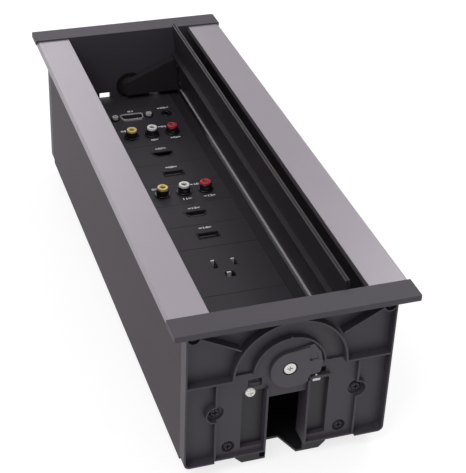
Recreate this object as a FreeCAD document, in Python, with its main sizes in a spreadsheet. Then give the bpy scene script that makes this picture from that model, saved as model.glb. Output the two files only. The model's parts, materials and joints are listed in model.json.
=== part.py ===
import FreeCAD, Part
import os
import re

import Sketcher

V = FreeCAD.Vector

doc = FreeCAD.newDocument("table_connection_box")
sizes = doc.addObject("Spreadsheet::Sheet", "sizes")
nodes = []

# Driving dimensions in millimetres, and degrees for the angles
DRIVING = {
    # Overall body
    "box_width": 136.8,
    "box_length": 372.0,
    "body_height": 100.0,
    "tray_drop": 10.0,
    "flange_overhang": 9.0,
    # Cap bars of the end plates
    "cap_depth": 15.9,
    "cap_thick": 3.3,
    "cap_corner": 1.2,
    "cap_edge": 0.4,
    # End plates
    "web_thick": 1.6,
    "platform_rise": 1.5,
    "rim_inset": 8.8,
    "rib_step": 1.8,
    "rib_thick": 1.2,
    "skirt_thick": 1.0,
    "skirt_wrap": 2.1,
    "skirt_corner": 3.5,
    "platform_half": 41.75,
    "outer_arc": 33.2,
    "inner_arc": 21.0,
    "arc_wall": 1.0,
    "arc_nub": 1.5,
    "brace_low_x": 29.0,
    "brace_low_drop": 24.0,
    "brace_high_x": 57.0,
    "brace_high_drop": 9.0,
    "slot_half": 11.35,
    "slot_top_drop": 62.0,
    "slot_wall": 1.3,
    "slot_wall_top_drop": 54.0,
    "duct_reach": 7.1,
    "pocket_left": 25.9,
    "pocket_right": 24.4,
    "pocket_bottom_drop": 95.5,
    "pocket_below_rib": 2.1,
    "ledge_near": 13.4,
    "ledge_rib_thick": 1.6,
    "window_near": 15.0,
    "left_window_far": 23.0,
    "right_window_far": 22.1,
    "window_below_pivot": 4.4,
    "window_height": 5.1,
    # Rails
    "rail_inner": 44.7,
    "rail_drop": 1.0,
    "rail_edge_inset": 0.3,
    "rail_bevel_width": 1.6,
    "rail_bevel_drop": 1.4,
    "rail_lip_drop": 5.0,
    "rail_lip_thick": 1.5,
    "rail_groove_depth": 0.5,
    "port_radius": 2.1,
    "port_stem": 1.6,
    # Side walls
    "wall_thick": 1.0,
    "wall_end_gap": 0.3,
    "wall_flange": 12.0,
    # Module tray
    "tray_half": 27.2,
    "tray_wall": 1.5,
    "tray_chamfer": 4.0,
    "panel_drop": 52.0,
    "plate_thick": 2.0,
    "plate_half": 29.4,
    "plate_side_gap": 0.1,
    "plate_gap": 0.2,
    "plate_end_gap": 0.2,
    "strip_half": 37.0,
    "ear_half": 45.0,
    "ear_top_drop": 60.0,
    "ear_bottom_drop": 98.0,
    "inner_ear_gap": 0.2,
    "floor_notch_half": 9.3,
    "floor_notch_tip": 3.5,
    "floor_notch_depth": 14.1,
    # Socket modules, from the far end
    "far_blank_length": 22.5,
    "far_module_length": 27.0,
    "near_module_length": 26.1,
    "power_length": 50.4,
    # Video socket
    "video_x": -7.1,
    "video_offset": 1.8,
    "video_flange_length": 30.8,
    "video_flange_width": 12.5,
    "video_flange_thick": 0.8,
    "video_wide_half": 8.5,
    "video_narrow_half": 7.5,
    "video_half_height": 4.15,
    "video_shell_wall": 0.5,
    "video_rise": 1.4,
    "video_chamfer": 1.4,
    "video_insert_step": 0.6,
    "video_body_drop": 8.0,
    "video_body_half": 10.5,
    "video_body_half_width": 5.2,
    "video_pin_pitch": 2.29,
    "video_row_pitch": 1.98,
    "video_row_shift": 0.57,
    "video_pin_hole": 0.5,
    "video_pin_depth": 5.0,
    "post_spacing": 24.99,
    "post_radius": 2.3,
    "post_rise": 2.7,
    "washer_radius": 3.2,
    "washer_rise": 0.9,
    "post_bore": 1.15,
    "post_bore_drop": 2.0,
    "post_shank": 1.8,
    "post_shank_drop": 3.0,
    # Audio jack
    "jack_x": 18.6,
    "jack_radius": 3.9,
    "jack_neck": 3.0,
    "jack_rise": 0.8,
    "jack_bore": 1.8,
    "jack_drop": 11.0,
    # Phono sockets
    "phono_centre_x": 0.3,
    "phono_pitch": 14.8,
    "phono_offset": 1.2,
    "phono_base_radius": 5.2,
    "phono_base_rise": 1.2,
    "phono_neck": 3.4,
    "phono_neck_drop": 7.0,
    "phono_radius": 4.15,
    "phono_rise": 6.4,
    "phono_wall": 0.55,
    "phono_cap_height": 1.4,
    "phono_cap_bore": 1.9,
    "phono_contact_radius": 1.85,
    "phono_contact_wall": 0.4,
    "phono_contact_step": 1.0,
    "phono_contact_length": 9.0,
    # Display sockets
    "display_x": 0.5,
    "display_offset": 0.1,
    "display_half": 7.8,
    "display_half_height": 3.3,
    "display_slant": 2.2,
    "display_corner": 1.1,
    "display_wall": 0.6,
    "display_rise": 0.1,
    "display_drop": 10.0,
    "display_tongue_half": 5.0,
    "display_tongue_thick": 1.4,
    "display_tongue_step": 1.5,
    "display_tongue_base": 2.8,
    # Data sockets
    "data_x": 0.6,
    "data_offset": -0.1,
    "data_half": 6.9,
    "data_half_height": 3.2,
    "data_wall": 0.4,
    "data_rise": 0.1,
    "data_drop": 10.0,
    "data_tongue_half": 5.7,
    "data_tongue_thick": 1.8,
    "data_tongue_step": 1.2,
    "data_tongue_base": 3.6,
    "data_tongue_shift": 1.0,
    "socket_fit": 0.1,
    "socket_groove": 0.4,
    "socket_groove_depth": 0.8,
    # Power socket
    "power_x": 0.8,
    "power_offset": 0.6,
    "power_half_x": 13.5,
    "power_half_y": 16.5,
    "power_drop": 22.0,
    "blade_half_spacing": 6.35,
    "blade_y": 6.1,
    "neutral_length": 9.4,
    "line_length": 7.8,
    "blade_width": 2.8,
    "earth_radius": 3.2,
    "earth_y": -6.0,
    "earth_contact_half": 1.35,
    "earth_contact_y": 1.5,
    "power_hole_depth": 18.0,
    "contact_thick": 1.2,
    "contact_side_gap": 0.2,
    "contact_length": 12.0,
    "contact_step": 0.3,
    # Pivot
    "pivot_drop": 43.0,
    "hub_radius": 8.0,
    "hub_clearance": 0.05,
    "hub_neck_radius": 6.4,
    "hub_neck_step": 1.5,
    "bush_radius": 9.2,
    "bush_flange_radius": 10.2,
    "bush_flange_thick": 0.8,
    "cam_gap": 0.2,
    "cam_radius": 11.0,
    "lobe_radius": 19.2,
    "lobe_high_angle": 46.0,
    "lobe_low_angle": 19.9,
    "lobe_shoulder_x": 6.8,
    "lobe_shoulder_z": 12.5,
    "lobe_heel_x": 11.0,
    "lobe_heel_z": 7.6,
    "lobe_step": 0.6,
    "lobe_pocket_radius": 17.0,
    "lobe_pocket_low": 2.8,
    "lobe_pocket_high": 10.0,
    "lobe_pocket_depth": 0.5,
    "round_radius": 12.2,
    "round_x": 1.2,
    "round_drop": 1.0,
    "round_flat_x": 8.5,
    "round_flat_z": 12.4,
    "fold_x": 11.0,
    "fold_z": 10.7,
    "pivot_screw_radius": 3.45,
    "pivot_screw_head": 1.4,
    "pivot_screw_shank": 1.5,
    "pivot_screw_brim": 0.4,
    "pivot_screw_sink": 0.1,
    "pivot_screw_ring": 0.9,
    "pivot_washer_gap": 0.05,
    "pivot_washer_thick": 0.35,
    "pivot_screw_length": 9.0,
    # Lid
    "lid_half": 41.8,
    "lid_reach": 40.0,
    "lid_thick": 2.6,
    "lid_end_gap": 2.6,
    "open_angle": 82.0,
    "ledge_offset": 17.4,
    "ledge_thick": 1.6,
    "ledge_depth": 3.2,
    "trim_offset": 10.9,
    "trim_width": 1.4,
    "trim_depth": 1.2,
    "seal_width": 1.0,
    "seal_depth": 3.0,
    "arm_thick": 5.4,
    "arm_stand": 1.2,
    "arm_top_out": 16.4,
    "arm_top_in": 10.5,
    "arm_root_out": 5.5,
    "arm_root_out_drop": 2.6,
    "arm_root_in": 4.5,
    "arm_root_in_drop": 4.9,
    "foot_width": 6.0,
    "foot_thick": 1.5,
    "foot_far": 14.0,
    "foot_near": 8.0,
    "foot_screw_far": 10.5,
    "foot_screw_near": 4.5,
    "foot_screw_bite": 1.8,
    "foot_screw_length": 3.0,
    # Screws
    "head_radius": 3.0,
    "head_rise": 1.4,
    "head_dome": 0.8,
    "shank_radius": 1.25,
    "hole_clearance": 0.25,
    "thread_clearance": 0.03,
    "recess_width": 0.7,
    "recess_length": 3.4,
    "recess_depth": 1.0,
    "rail_screw_x": 55.2,
    "rail_screw_drop": 10.3,
    "rail_screw_length": 16.6,
    "boss_radius": 4.1,
    "boss_wall": 0.8,
    "boss_rise": 5.3,
    "boss_seat": 2.6,
    "wall_screw_x": 41.3,
    "wall_screw_drop": 66.5,
    "wall_boss_radius": 5.8,
    "tray_screw_x": 33.0,
    "tray_screw_drop": 92.8,
    "counterbore": 3.9,
    "tray_screw_length": 3.1,
    # Small parts at the pivots
    "clamp_screw_x": 21.5,
    "clamp_screw_below_pocket": 0.8,
    "clamp_lug_radius": 2.4,
    "clamp_screw_length": 5.0,
    "spring_thick": 0.5,
    "spring_wave": 0.9,
    "buffer_x": 13.9,
    "buffer_length": 4.3,
    "buffer_head": 1.6,
    "buffer_rise": 0.3,
    "buffer_stem_radius": 0.6,
    "buffer_gap": 0.6,
}
for row, (name, value) in enumerate(DRIVING.items(), 1):
    sizes.set("A%d" % row, str(value))
    sizes.setAlias("A%d" % row, name)

doc.recompute()

# How near an edge lies to a plane to count as on it
CLOSE = 0.01

WORD = re.compile(r"[a-z][a-z_0-9]*\b(?!\()")


def full(expression):
    """The expression with each size read from the sheet."""
    return WORD.sub(lambda found: "sizes." + found.group(0), str(expression))


def number(expression):
    """The expression's value in millimetres."""
    return float(sizes.evalExpression(full(expression)))


# Levels that many pieces share, written with the sizes
TOP = "(tray_drop + body_height)"
SEAT = "(%s - cap_thick)" % TOP
BOTTOM = "tray_drop"
PIVOT = "(%s - pivot_drop)" % TOP
PANEL = "(%s - panel_drop)" % TOP
WINDOW_TOP = "(%s - window_below_pivot)" % PIVOT
WINDOW_LOW = "(%s - window_height)" % WINDOW_TOP
BUFFER_TOP = "(%s - lobe_heel_z - buffer_gap)" % PIVOT
LEDGE_TOP = "(%s - buffer_rise)" % BUFFER_TOP
LEDGE_LOW = "(%s - ledge_rib_thick)" % LEDGE_TOP
POCKET_TOP = "(%s - pocket_below_rib)" % LEDGE_LOW
CLAMP_Z = "(%s - clamp_screw_below_pocket)" % POCKET_TOP
SHELF = "(%s - plate_thick)" % PANEL
CAP_END = "(box_length / 2)"
CAP_IN = "(box_length / 2 - cap_depth)"
WEB = "(%s + web_thick)" % CAP_IN
PLATFORM = "(%s + platform_rise)" % WEB
RIM = "(box_length / 2 - rim_inset)"
RIB = "(%s - rib_step)" % RIM
SKIRT_IN = "(%s - skirt_wrap)" % CAP_IN
BOSS_SEAT = "(%s + boss_seat)" % WEB
BODY = "(box_width / 2 - flange_overhang)"
LID_END = "(%s - lid_end_gap)" % CAP_IN
ARM_OUT = "(%s + arm_stand)" % LID_END
ARM_IN = "(%s - arm_thick)" % ARM_OUT
RAIL_OUT = "(box_width / 2 - rail_edge_inset)"


def place(item, x=0, y=0, z=0):
    """Moves an item to a point given by size expressions."""
    for axis, expression in zip("xyz", (x, y, z)):
        item.setExpression("Placement.Base." + axis, full(expression))
    return item


def block(x_low, x_high, y_low, y_high, z_low, z_high, name="block"):
    """A box between two planes along each axis."""
    item = doc.addObject("Part::Box", name)
    item.setExpression("Length", full("%s - (%s)" % (x_high, x_low)))
    item.setExpression("Width", full("%s - (%s)" % (y_high, y_low)))
    item.setExpression("Height", full("%s - (%s)" % (z_high, z_low)))
    return place(item, x_low, y_low, z_low)


def rod_y(x, z, y_low, y_high, radius, name="rod", angle=360):
    """A cylinder along Y, or its upper half with an angle of 180."""
    item = doc.addObject("Part::Cylinder", name)
    item.setExpression("Radius", full(radius))
    item.setExpression("Height", full("%s - (%s)" % (y_high, y_low)))
    item.Angle = angle
    item.Placement = FreeCAD.Placement(V(0, 0, 0), FreeCAD.Rotation(V(1, 0, 0), 90))
    return place(item, x, y_high, z)


def rod_z(x, y, z_low, z_high, radius, name="post"):
    """A cylinder along Z."""
    item = doc.addObject("Part::Cylinder", name)
    item.setExpression("Radius", full(radius))
    item.setExpression("Height", full("%s - (%s)" % (z_high, z_low)))
    return place(item, x, y, z_low)


def dome_y(x, z, y_low, y_high, radius, top_radius, name="dome"):
    """A cone frustum along Y with its small end at y_high."""
    item = doc.addObject("Part::Cone", name)
    item.setExpression("Radius1", full(radius))
    item.setExpression("Radius2", full(top_radius))
    item.setExpression("Height", full("%s - (%s)" % (y_high, y_low)))
    item.Placement = FreeCAD.Placement(V(0, 0, 0), FreeCAD.Rotation(V(1, 0, 0), -90))
    return place(item, x, y_low, z)


def join(pieces, name="joined"):
    """Several shapes as one solid."""
    item = doc.addObject("Part::MultiFuse", name)
    item.Shapes = pieces
    item.Refine = True
    return item


def cut(base, tool, name="cut"):
    """The base without the tool."""
    item = doc.addObject("Part::Cut", name)
    item.Base = base
    item.Tool = tool
    item.Refine = True
    return item


def group(pieces, name="group"):
    """Separate solids kept together."""
    item = doc.addObject("Part::Compound", name)
    item.Links = pieces
    return item


def mirrored(source, normal, name="mirrored"):
    """A mirror image across the middle of the box."""
    item = doc.addObject("Part::Mirroring", name)
    item.Source = source
    item.Normal = normal
    return item


def node(item, label):
    """Registers a finished sub-part under the name of its file."""
    item.Label = label
    nodes.append(item)
    return item


def both_ends(item, name):
    """A piece of the far end and its mirror image at the near end."""
    node(item, "far_" + name)
    return node(mirrored(item, V(0, 1, 0)), "near_" + name)


def end_pair(item, label):
    """Small parts of both ends as one group."""
    return node(group([item, mirrored(item, V(0, 1, 0))]), label)


def profile(points, plane, low, high, name="profile"):
    """A polygon of size expressions, padded between two levels of its plane."""
    body = doc.addObject("PartDesign::Body", name)
    sketch = body.newObject("Sketcher::SketchObject", name + "_sketch")
    origin = [o for o in body.Origin.OriginFeatures if o.Role == plane][0]
    sketch.AttachmentSupport = (origin, [""])
    sketch.MapMode = "FlatFace"
    start = "-(%s)" % high if plane == "XZ_Plane" else low
    sketch.setExpression("AttachmentOffset.Base.z", full(start))
    corners = [V(number(a), number(b), 0) for a, b in points]
    count = len(corners)
    for i in range(count):
        sketch.addGeometry(Part.LineSegment(corners[i], corners[(i + 1) % count]), False)
    for i in range(count):
        sketch.addConstraint(Sketcher.Constraint("Coincident", i, 2, (i + 1) % count, 1))
    for i, pair in enumerate(points):
        for kind, expression in zip(("DistanceX", "DistanceY"), pair):
            rule = Sketcher.Constraint(kind, -1, 1, i, 1, number(expression))
            index = sketch.addConstraint(rule)
            sketch.setExpression("Constraints[%d]" % index, full(expression))
    pad = body.newObject("PartDesign::Pad", name + "_pad")
    pad.Profile = sketch
    pad.setExpression("Length", full("%s - (%s)" % (high, low)))
    return body


def rounded(body, radius, chosen, name="rounding"):
    """Rounds the body's edges that the chosen test accepts."""
    doc.recompute()
    base = body.Tip
    edges = ["Edge%d" % (i + 1) for i, e in enumerate(base.Shape.Edges) if chosen(e)]
    fillet = body.newObject("PartDesign::Fillet", name)
    fillet.Base = (base, edges)
    fillet.setExpression("Radius", full(radius))
    return body


def along(edge, axis):
    """True for a straight edge that runs along the axis."""
    if edge.Curve.TypeId != "Part::GeomLine":
        return False
    return abs(edge.Curve.Direction.dot(axis)) > 1 - CLOSE


def cross():
    """The cross-shaped drive recess of a screw, under z = 0."""
    wide = block("-recess_length / 2", "recess_length / 2", "-recess_width / 2", "recess_width / 2",
                 "-recess_depth", 0)
    tall = block("-recess_width / 2", "recess_width / 2", "-recess_length / 2", "recess_length / 2",
                 "-recess_depth", 0)
    return join([wide, tall])


def screw(length):
    """A pan-head screw along Z, the underside of its head at z = 0."""
    brim = "(head_rise - head_dome)"
    head = rod_z(0, 0, 0, brim, "head_radius")
    dome = doc.addObject("Part::Cone", "dome")
    dome.setExpression("Radius1", full("head_radius"))
    dome.setExpression("Radius2", full("head_radius - head_dome"))
    dome.setExpression("Height", full("head_dome"))
    place(dome, 0, 0, brim)
    shank = rod_z(0, 0, "-" + length, 0, "shank_radius")
    return cut(join([head, dome, shank]), place(cross(), 0, 0, "head_rise"), "screw")


FACING_OUT = FreeCAD.Rotation(V(1, 0, 0), -90)
FACING_DOWN = FreeCAD.Rotation(V(1, 0, 0), 180)


def turned(item, rotation, x, y, z):
    """Turns an item and moves it to a point."""
    item.Placement = FreeCAD.Placement(V(0, 0, 0), rotation)
    return place(item, x, y, z)


def section(points, base=(0, 0)):
    """Outline points moved to a base point."""
    return [("%s + (%s)" % (base[0], a), "%s + (%s)" % (base[1], b)) for a, b in points]


def down(drop):
    """A level that lies a drop under the cap's top."""
    return "(%s - %s)" % (TOP, drop)


def either_side(low, high):
    """The X ranges between two distances, left and right of the middle."""
    return [("-(%s)" % high, "-(%s)" % low), (low, high)]


# End plate: cap bar
cap = profile([("-box_width / 2", SEAT), ("box_width / 2", SEAT),
               ("box_width / 2", TOP), ("-box_width / 2", TOP)],
              "XZ_Plane", CAP_IN, CAP_END, "cap_bar")
cap = rounded(cap, "cap_corner", lambda e: along(e, V(0, 0, 1)) and
              e.CenterOfMass.y > number(CAP_END) - CLOSE, "cap_corners")
cap = rounded(cap, "cap_edge", lambda e: e.CenterOfMass.z > number(TOP) - CLOSE and
              e.CenterOfMass.y > number(CAP_IN) + CLOSE, "cap_top_edge")

# End plate: web with its skirt
shell = profile([("-" + BODY, BOTTOM), (BODY, BOTTOM), (BODY, SEAT), ("-" + BODY, SEAT)],
                "XZ_Plane", SKIRT_IN, RIM, "skirt_shell")
shell = rounded(shell, "skirt_corner", lambda e: along(e, V(0, 1, 0)) and
                e.CenterOfMass.z < number(BOTTOM) + CLOSE, "skirt_corners")
SKIRT_X = "(%s - skirt_thick)" % BODY
FLOOR = "(%s + skirt_thick)" % BOTTOM
recess = profile([("-" + SKIRT_X, FLOOR), (SKIRT_X, FLOOR), (SKIRT_X, SEAT), ("-" + SKIRT_X, SEAT)],
                 "XZ_Plane", WEB, RIM, "skirt_recess")
recess = rounded(recess, "skirt_corner - skirt_thick", lambda e: along(e, V(0, 1, 0)) and
                 e.CenterOfMass.z < number(FLOOR) + CLOSE, "recess_corners")
WALL_IN = "(%s - wall_thick)" % BODY
inside = block("-" + WALL_IN, WALL_IN, SKIRT_IN, CAP_IN, BOTTOM, SEAT)
step = block("-platform_half", "platform_half", RIB, RIM, BOTTOM, FLOOR)
shell = cut(shell, join([recess, inside, step]), "skirt_and_web")

# End plate: raised platform, arcs and ribs
platform = block("-platform_half", "platform_half", WEB, PLATFORM, BOTTOM, PIVOT)
disc = rod_y(0, PIVOT, WEB, PLATFORM, "inner_arc")
inner_wall = cut(rod_y(0, PIVOT, WEB, RIB, "inner_arc", angle=180),
                 rod_y(0, PIVOT, WEB, RIB, "inner_arc - arc_wall", angle=180))
outer_wall = cut(rod_y(0, PIVOT, WEB, RIM, "outer_arc", angle=180),
                 rod_y(0, PIVOT, WEB, RIM, "outer_arc - rib_thick", angle=180))
nub = rod_y(0, "%s + inner_arc" % PIVOT, WEB, RIB, "arc_nub / 2")
raised = [platform, disc, inner_wall, outer_wall, nub]
for low, high in either_side("outer_arc - rib_thick", SKIRT_X):
    raised.append(block(low, high, WEB, RIM, "%s - rib_thick" % PIVOT, PIVOT))
for low, high in either_side("platform_half - rib_thick", "platform_half"):
    raised.append(block(low, high, WEB, RIB, BOTTOM, PIVOT))
for low, high in either_side("slot_half", "slot_half + slot_wall"):
    raised.append(block(low, high, WEB, RIB, BOTTOM, down("slot_wall_top_drop")))
for side in ("-1", "1"):
    brace = [("%s * brace_low_x" % side, down("brace_low_drop")),
             ("%s * brace_high_x" % side, down("brace_high_drop")),
             ("%s * brace_high_x" % side, down("brace_high_drop") + " + rib_thick"),
             ("%s * brace_low_x" % side, down("brace_low_drop") + " + rib_thick")]
    raised.append(profile(brace, "XZ_Plane", WEB, RIM, "brace"))
    boss_x = "%s * rail_screw_x" % side
    boss_z = down("rail_screw_drop")
    boss_top = "(%s + boss_rise)" % WEB
    raised.append(rod_y(boss_x, boss_z, WEB, boss_top, "boss_radius"))
raised.append(block("ledge_near", "pocket_right", WEB, RIB, LEDGE_LOW, LEDGE_TOP))
ducts = [block(low, high, "%s - duct_reach" % CAP_IN, WEB, BOTTOM, down("slot_top_drop"))
         for low, high in either_side("slot_half", "slot_half + slot_wall")]
moulding = join([cap, shell] + raised + ducts, "moulding")

# End plate: openings
open_low = "%s - duct_reach" % CAP_IN
cuts = [block("-slot_half", "slot_half", open_low, RIM, 0, down("slot_top_drop"))]
for low, high in (("-pocket_left", "-(slot_half + slot_wall)"), ("slot_half + slot_wall", "pocket_right")):
    cuts.append(block(low, high, CAP_IN, RIM, down("pocket_bottom_drop"), POCKET_TOP))
cuts.append(block("-left_window_far", "-window_near", CAP_IN, PLATFORM, WINDOW_LOW, WINDOW_TOP))
cuts.append(block("window_near", "right_window_far", CAP_IN, PLATFORM, WINDOW_LOW, WINDOW_TOP))
stem = rod_z("buffer_x + buffer_length / 2", "(%s + %s) / 2" % (PLATFORM, RIB),
             LEDGE_LOW, BUFFER_TOP, "buffer_stem_radius")
cuts.append(stem)
cuts.append(rod_y(0, PIVOT, CAP_IN, PLATFORM, "bush_radius + thread_clearance"))
for side in ("-1", "1"):
    wall_x = "%s * wall_screw_x" % side
    wall_z = down("wall_screw_drop")
    cuts.append(rod_y(wall_x, wall_z, WEB, RIM, "wall_boss_radius - boss_wall"))
    tray_x = "%s * tray_screw_x" % side
    tray_z = down("tray_screw_drop")
    cuts.append(rod_y(tray_x, tray_z, WEB, RIM, "counterbore"))
    rail_x = "%s * rail_screw_x" % side
    rail_z = down("rail_screw_drop")
    cuts.append(rod_y(rail_x, rail_z, BOSS_SEAT, RIM, "boss_radius - boss_wall"))
    for x, z, seat in ((wall_x, wall_z, WEB), (tray_x, tray_z, WEB), (rail_x, rail_z, BOSS_SEAT)):
        cuts.append(rod_y(x, z, CAP_IN, seat, "shank_radius + hole_clearance"))
moulding = cut(moulding, join(cuts), "opened_moulding")

# End plate: half rings round the wall screws, and the clamp screw's lug
added = [moulding]
for side, low, high in (("-1", "-platform_half", "0"), ("1", "0", "platform_half")):
    x = "%s * wall_screw_x" % side
    z = down("wall_screw_drop")
    ring = cut(rod_y(x, z, WEB, RIB, "wall_boss_radius"),
               rod_y(x, z, WEB, RIB, "wall_boss_radius - boss_wall"))
    added.append(cut(ring, block(low, high, WEB, RIB, BOTTOM, PIVOT)))
lug = rod_y("-clamp_screw_x", CLAMP_Z, CAP_IN, PLATFORM, "clamp_lug_radius")
added.append(lug)
end_plate = cut(join(added), rod_y("-clamp_screw_x", CLAMP_Z, CAP_IN, PLATFORM,
                                   "shank_radius + hole_clearance"), "end_plate")
both_ends(end_plate, "end_plate")

# Rails
RAIL_TOP = "(%s - rail_drop)" % TOP
PORT_Z = down("rail_screw_drop")
rail = profile([("rail_inner", RAIL_TOP),
                ("rail_inner", down("rail_lip_drop")),
                ("rail_inner + rail_lip_thick", down("rail_lip_drop")),
                ("rail_inner + rail_lip_thick", SEAT),
                ("rail_screw_x - port_stem / 2", SEAT),
                ("rail_screw_x - port_stem / 2", PORT_Z),
                ("rail_screw_x + port_stem / 2", PORT_Z),
                ("rail_screw_x + port_stem / 2", SEAT),
                (WALL_IN, SEAT),
                (WALL_IN, SEAT + " + rail_groove_depth"),
                (BODY, SEAT + " + rail_groove_depth"),
                (BODY, SEAT),
                (RAIL_OUT, SEAT),
                (RAIL_OUT, "%s - rail_bevel_drop" % RAIL_TOP),
                ("%s - rail_bevel_width" % RAIL_OUT, RAIL_TOP)],
               "XZ_Plane", "-" + CAP_IN, CAP_IN, "rail_section")
port = rod_y("rail_screw_x", PORT_Z, "-" + CAP_IN, CAP_IN, "port_radius")
bore = rod_y("rail_screw_x", PORT_Z, "-" + CAP_IN, CAP_IN, "shank_radius + thread_clearance")
rail = node(cut(join([rail, port]), bore), "right_rail")
node(mirrored(rail, V(1, 0, 0)), "left_rail")

# Side walls, their upper edge in the rails' grooves
WALL_END = "(%s - wall_end_gap)" % SKIRT_IN
WALL_TOP = "(%s + rail_groove_depth)" % SEAT
side_wall = profile([(BODY, BOTTOM), (BODY, WALL_TOP), (WALL_IN, WALL_TOP),
                     (WALL_IN, BOTTOM + " + wall_thick"),
                     ("%s - wall_flange" % BODY, BOTTOM + " + wall_thick"),
                     ("%s - wall_flange" % BODY, BOTTOM)],
                    "XZ_Plane", "-" + WALL_END, WALL_END, "wall_section")
node(side_wall, "right_side_wall")
node(mirrored(side_wall, V(1, 0, 0)), "left_side_wall")

# Module tray
STRIP = "(plate_half + plate_side_gap)"
half = [("tray_half - tray_chamfer", "0"),
        ("tray_half", "tray_chamfer"),
        ("tray_half", "%s - tray_wall" % SHELF),
        ("%s + tray_wall" % STRIP, "%s - tray_wall" % SHELF),
        ("%s + tray_wall" % STRIP, "%s - tray_wall" % PANEL),
        ("strip_half", "%s - tray_wall" % PANEL),
        ("strip_half", PANEL),
        (STRIP, PANEL),
        (STRIP, SHELF),
        ("tray_half - tray_wall", SHELF),
        ("tray_half - tray_wall", "tray_chamfer"),
        ("tray_half - tray_chamfer", "tray_wall")]
tray = profile(half + [("-(%s)" % x, z) for x, z in reversed(half)],
               "XZ_Plane", "-" + CAP_IN, CAP_IN, "tray_section")
notch = profile([("-floor_notch_half", CAP_IN),
                 ("-floor_notch_tip", "%s - floor_notch_depth" % CAP_IN),
                 ("floor_notch_tip", "%s - floor_notch_depth" % CAP_IN),
                 ("floor_notch_half", CAP_IN)],
                "XY_Plane", "0", "tray_wall", "floor_notch")
EAR_IN = "(%s - tray_wall)" % CAP_IN
ears = []
ear_holes = []
for low, high in either_side("tray_half", "ear_half"):
    ears.append(block(low, high, EAR_IN, CAP_IN, down("ear_bottom_drop"), down("ear_top_drop")))
for side in ("-1", "1"):
    for name in ("wall_screw", "tray_screw"):
        ear_holes.append(rod_y("%s * %s_x" % (side, name), down(name + "_drop"), EAR_IN, CAP_IN,
                               "shank_radius + thread_clearance"))
EAR_MIDDLE = "(tray_half - tray_wall / 2)"
EAR_FOOT = "(tray_half - tray_chamfer)"
for side in ("-1", "1"):
    corners = [("slot_half + slot_wall + inner_ear_gap", "tray_wall / 2"), (EAR_FOOT, "tray_wall / 2"),
               (EAR_MIDDLE, "tray_chamfer"), (EAR_MIDDLE, SHELF),
               ("slot_half + slot_wall + inner_ear_gap", SHELF)]
    corners = [("%s * (%s)" % (side, x), z) for x, z in corners]
    ears.append(profile(corners, "XZ_Plane", EAR_IN, CAP_IN, "inner_ear"))
ear_holes.append(rod_y("-clamp_screw_x", CLAMP_Z, EAR_IN, CAP_IN, "shank_radius + thread_clearance"))
ears = cut(join(ears), join(ear_holes))
tray = join([tray, ears, mirrored(ears, V(0, 1, 0))])
node(cut(tray, join([notch, mirrored(notch, V(0, 1, 0))])), "module_tray")

# Socket modules: where each plate starts, from the far end
seams = ["(%s - plate_end_gap)" % CAP_IN]
for length in ["far_blank"] + ["far_module"] * 4 + ["near_module"] * 3 + ["power"]:
    seams.append("(%s - %s_length)" % (seams[-1], length))
seams.append("(plate_end_gap - %s)" % CAP_IN)


def blank(index):
    """The bare plate of a module."""
    return block("-plate_half", "plate_half", "%s + plate_gap / 2" % seams[index + 1],
                 "%s - plate_gap / 2" % seams[index], SHELF, PANEL)


def middle(index, offset):
    """The Y of a socket in a module."""
    return "(%s - %s / 2 + %s / 2 + %s)" % (seams[index], seams[index], seams[index + 1], offset)


def slanted(x, y, far_half, near_half, half, corner, grow="0"):
    """A socket outline that is narrower on its near side."""
    far = "(%s + %s)" % (far_half, grow)
    near = "(%s + %s)" % (near_half, grow)
    deep = "(%s + %s)" % (half, grow)
    right = [("%s - %s" % (near, corner), "-" + deep), (near, "%s - %s" % (corner, deep)),
             (far, "%s - %s" % (deep, corner)), ("%s - %s" % (far, corner), deep)]
    left = [("-(%s)" % a, b) for a, b in reversed(right)]
    return section(right + left, (x, y))


node(blank(0), "far_blank_plate")
node(blank(9), "near_blank_plate")

# Video and audio module
VIDEO_Y = middle(1, "video_offset")
VIDEO_TOP = "(%s + video_rise)" % PANEL
VIDEO_BACK = "(%s - video_flange_thick)" % SHELF


def video_outline(grow):
    return slanted("video_x", VIDEO_Y, "video_wide_half", "video_narrow_half",
                   "video_half_height", "video_chamfer", grow)


video_hole = profile(video_outline("socket_fit"), "XY_Plane", SHELF, PANEL, "video_hole")
post_tools = []
posts = []
washers = []
WASHER_TOP = "(%s + washer_rise)" % PANEL
for side in ("-1", "1"):
    x = "video_x + %s * post_spacing / 2" % side
    hexagon = doc.addObject("Part::Prism", "hexagon")
    hexagon.Polygon = 6
    hexagon.setExpression("Circumradius", full("post_radius"))
    hexagon.setExpression("Height", full("post_rise - washer_rise"))
    place(hexagon, x, VIDEO_Y, WASHER_TOP)
    shank = rod_z(x, VIDEO_Y, "%s - post_shank_drop" % SHELF, WASHER_TOP, "post_shank")
    washers.append(cut(rod_z(x, VIDEO_Y, PANEL, WASHER_TOP, "washer_radius"),
                       rod_z(x, VIDEO_Y, PANEL, WASHER_TOP, "post_shank + thread_clearance")))
    thread = rod_z(x, VIDEO_Y, "%s - post_bore_drop" % PANEL, "%s + post_rise" % PANEL, "post_bore")
    posts.append(cut(join([hexagon, shank]), thread))
    post_tools.append(rod_z(x, VIDEO_Y, VIDEO_BACK, PANEL, "post_shank + hole_clearance"))
jack_hole = rod_z("jack_x", VIDEO_Y, SHELF, PANEL, "jack_neck + socket_fit")
node(cut(blank(1), join([video_hole, jack_hole] + post_tools)), "video_audio_plate")
node(group(posts), "video_posts")
node(group(washers), "video_washers")

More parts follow.
